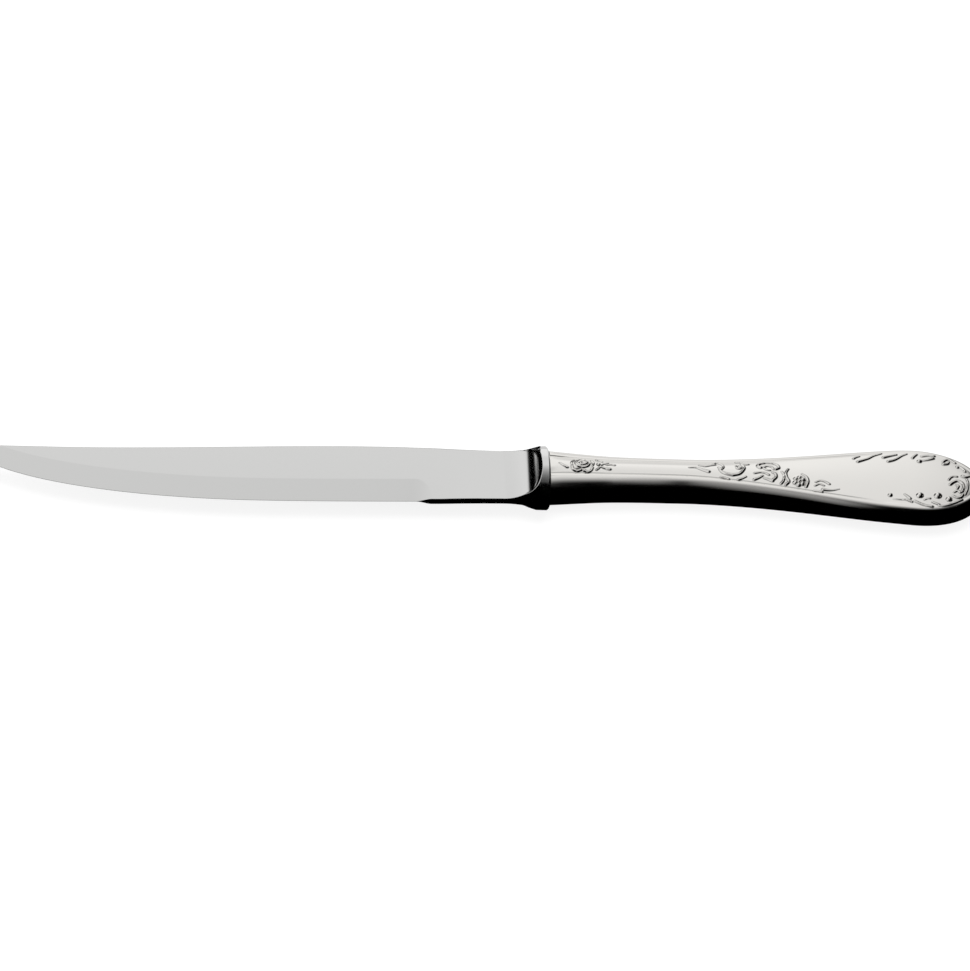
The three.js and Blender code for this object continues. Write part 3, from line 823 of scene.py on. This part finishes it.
def stagePiece(name, points, faces, material):
    mesh = bpy.data.meshes.new(name)
    mesh.from_pydata(np.asarray(points).tolist(), [], faces)
    piece = bpy.data.objects.new(name, mesh)
    mesh.materials.append(material)
    bpy.context.scene.collection.objects.link(piece)
    return piece


def makeFloor():
    material, tree = newMaterial("white_floor")
    paint = addNode(tree, "ShaderNodeBsdfDiffuse", Color=linear(stageLook["floorColor"]))
    glowLevel = addNode(tree, "ShaderNodeMath", {0: seenDirectly(tree)}, operation="MULTIPLY")
    glowLevel.inputs[1].default_value = stageLook["floorGlow"]
    glow = addNode(tree, "ShaderNodeEmission", {"Strength": glowLevel.outputs[0]}, Color=(1, 1, 1, 1))
    both = addNode(tree, "ShaderNodeAddShader", {0: paint.outputs[0], 1: glow.outputs[0]})
    addNode(tree, "ShaderNodeOutputMaterial", {"Surface": both.outputs[0]})
    r = stageLook["floorHalf"]
    stagePiece("floor", [[-r, -r, 0], [r, -r, 0], [r, r, 0], [-r, r, 0]], [[0, 1, 2, 3]], material)


# Cards round the knife that only mirrors see, in millimetres from the joint: a vault that is dark in front
# and bright behind, a dark strip close to the bolster, a dark end on the right, and cards on the floor
cardSizes = {
    "radius": 250, "left": -460, "right": 260, "vaultRows": 181, "vaultColumns": 254,
    "stripRadius": 28, "stripTurn": (-9, 72), "stripEnds": (-26, 4), "stripRows": 14,
    "lift": 0.3, "frontLeft": -330, "frontEdge": 1, "backEdge": 3, "backLevel": 0.82,
    "leftCorners": [(-0.8, 3), (-0.8, 250), (-240, 262), (-330, 215), (-45, 3)],
}
# How bright the vault is. A pair is where a change starts and ends: for names in Turn in degrees from the
# front floor over the top to the floor behind, for X in millimetres to the right, for Left to the left.
vaultLook = {
    "level": 0.84, "foot": -5, "climb": 92, "footRise": 17, "footRiseX": (38, 52),
    "rightTurn": (34, 100), "rightX": (50, 60),  # the dark reaches higher on the right
    "topMore": 0.06, "topTurn": (110, 130), "backMore": 0.1, "backTurn": (125, 142),
    "lowLess": 0.22, "lowTurn": (144, 152), "lowX": (26, 32), "endLess": 0.92, "endX": (95, 215),
    "ringX": (-4, 6), "ringEndX": (28, 34), "ringTurn": (55, 70),  # darker over the ring, bright behind it
    "ringLevel": 0.95, "ringFoot": 75, "ringClimb": 50, "ringPower": 2.2,
    "ringMore": 0.2, "ringMoreTurn": (142, 156),
    "bladeLevel": 0.8, "bladeLeft": (20, 60), "bladeTurn": (5, 20),  # light over the blade
    "blackAreas": [  # black behind on the left, each area a pair for Left and one for Turn
        ((178, 198), (125, 135)), ((-16, -8), (146, 152)), ((300, 330), (95, 110)),
    ],
    "patchLevel": 0.95, "patchLeft": (225, 240), "patchTurn": (161, 164), "patchStopTurn": (171, 176),
    "patchEnd": ((163, 170, 180), (251, 265, 273)), "patchFade": 6,  # one pale patch that the cove mirrors
    "patchCutTurn": (168, 170), "patchCutLeft": (263, 268),
}


def vaultGlow(turn, x):
    # An even climb from the front floor up, or an eased one on the right, with eased steps added or taken
    # away. Over the ring a power curve replaces it, and the black areas are blended over everything.
    v, left = vaultLook, -x
    toRight = smooth(x, *v["rightX"])
    foot = v["foot"] + v["footRise"] * smooth(x, *v["footRiseX"])
    even = np.clip((turn - foot) / v["climb"], 0, 1)
    glow = v["level"] * ((1 - toRight) * even + toRight * smooth(turn, *v["rightTurn"]))
    glow += v["topMore"] * smooth(turn, *v["topTurn"]) + v["backMore"] * smooth(turn, *v["backTurn"])
    glow -= v["lowLess"] * smooth(turn, *v["lowTurn"]) * smooth(x, *v["lowX"])
    overRing = smooth(x, *v["ringX"]) * (1 - smooth(x, *v["ringEndX"])) * smooth(turn, *v["ringTurn"])
    ringGlow = v["ringLevel"] * np.clip((turn - v["ringFoot"]) / v["ringClimb"], 0, 1) ** v["ringPower"]
    ringGlow += v["ringMore"] * smooth(turn, *v["ringMoreTurn"])
    glow += (ringGlow - glow) * overRing
    overBlade = smooth(left, *v["bladeLeft"]) * smooth(turn, *v["bladeTurn"])
    glow = np.maximum(glow, v["bladeLevel"] * overBlade)
    black = np.max([smooth(left, *far) * smooth(turn, *high) for far, high in v["blackAreas"]], axis=0)
    beyond = left - np.interp(turn, *v["patchEnd"])
    patch = smooth(left, *v["patchLeft"]) * (1 - smooth(beyond, 0, v["patchFade"]))
    patch *= smooth(turn, *v["patchTurn"]) * (1 - smooth(turn, *v["patchStopTurn"]))
    patch *= 1 - smooth(turn, *v["patchCutTurn"]) * (1 - smooth(left, *v["patchCutLeft"]))
    glow = glow * (1 - black) + v["patchLevel"] * patch
    return np.clip(glow * (1 - v["endLess"] * smooth(x, *v["endX"])), 0, None)


def makeCards():
    c = cardSizes
    r, right = c["radius"], c["right"]
    floorHeight = -joint[2] / mm
    low = floorHeight + c["lift"]
    material, tree = newMaterial("studio_card")
    glow = addNode(tree, "ShaderNodeAttribute", attribute_name="glow").outputs["Fac"]
    light = addNode(tree, "ShaderNodeEmission", {"Strength": glow}, Color=(1, 1, 1, 1))
    addNode(tree, "ShaderNodeOutputMaterial", {"Surface": light.outputs[0]})
    material.cycles.emission_sampling = "NONE"

    def card(name, points, faces, level):
        piece = stagePiece(name, np.asarray(points) * mm + joint, faces, material)
        layer = piece.data.attributes.new("glow", "FLOAT", "POINT")
        layer.data.foreach_set("value", np.broadcast_to(level, len(points)).astype(np.float32))
        piece.visible_camera = piece.visible_diffuse = piece.visible_shadow = False
        piece.visible_transmission = piece.visible_volume_scatter = False

    def floorCard(name, corners, level):
        card(name, [[x, y, low] for x, y in corners], [list(range(len(corners)))], level)

    degrees, x = np.meshgrid(
        np.linspace(0, 180, c["vaultRows"]), np.linspace(c["left"], right, c["vaultColumns"]), indexing="ij")
    turn = np.radians(degrees)
    vault = np.stack([x, -r * np.cos(turn), floorHeight + r * np.sin(turn)], -1)
    card("vault", vault.reshape(-1, 3), sheetFaces(*x.shape).tolist(), vaultGlow(degrees, x).ravel())
    turn = np.radians(np.linspace(*c["stripTurn"], c["stripRows"]))[:, None]
    x, near = np.array(c["stripEnds"]), c["stripRadius"]
    strip = np.stack(np.broadcast_arrays(x, -near * np.cos(turn), near * np.sin(turn)), -1)
    card("bolster_card", strip.reshape(-1, 3), sheetFaces(c["stripRows"], 2).tolist(), 0)
    end = [[right, -r, low], [right, r, low], [right, r, low + r], [right, -r, low + r]]
    card("end_card", end, [[0, 1, 2, 3]], 0)
    front = [(c["frontLeft"], -r), (right, -r), (right, c["frontEdge"]), (c["frontLeft"], c["frontEdge"])]
    floorCard("front_floor_card", front, 0)
    floorCard("left_floor_card", c["leftCorners"], 0)
    back = [(0, c["backEdge"]), (right, c["backEdge"]), (right, r), (0, r)]
    floorCard("back_floor_card", back, c["backLevel"])


lampLook = {"side": 1.2, "energy": 12, "place": (0, 0.3, 1.2), "tilt": -14}  # metres, watts, degrees


def makeLamp():
    look = lampLook
    data = bpy.data.lights.new("softbox", "AREA")
    data.shape = "RECTANGLE"
    data.size = data.size_y = look["side"]
    data.energy = look["energy"]
    lamp = bpy.data.objects.new("softbox", data)
    lamp.location = look["place"]
    lamp.rotation_euler = (math.radians(look["tilt"]), 0, 0)
    lamp.visible_glossy = False
    bpy.context.scene.collection.objects.link(lamp)


makeWorld()
makeFloor()
makeCards()
makeLamp()
print("stage set")
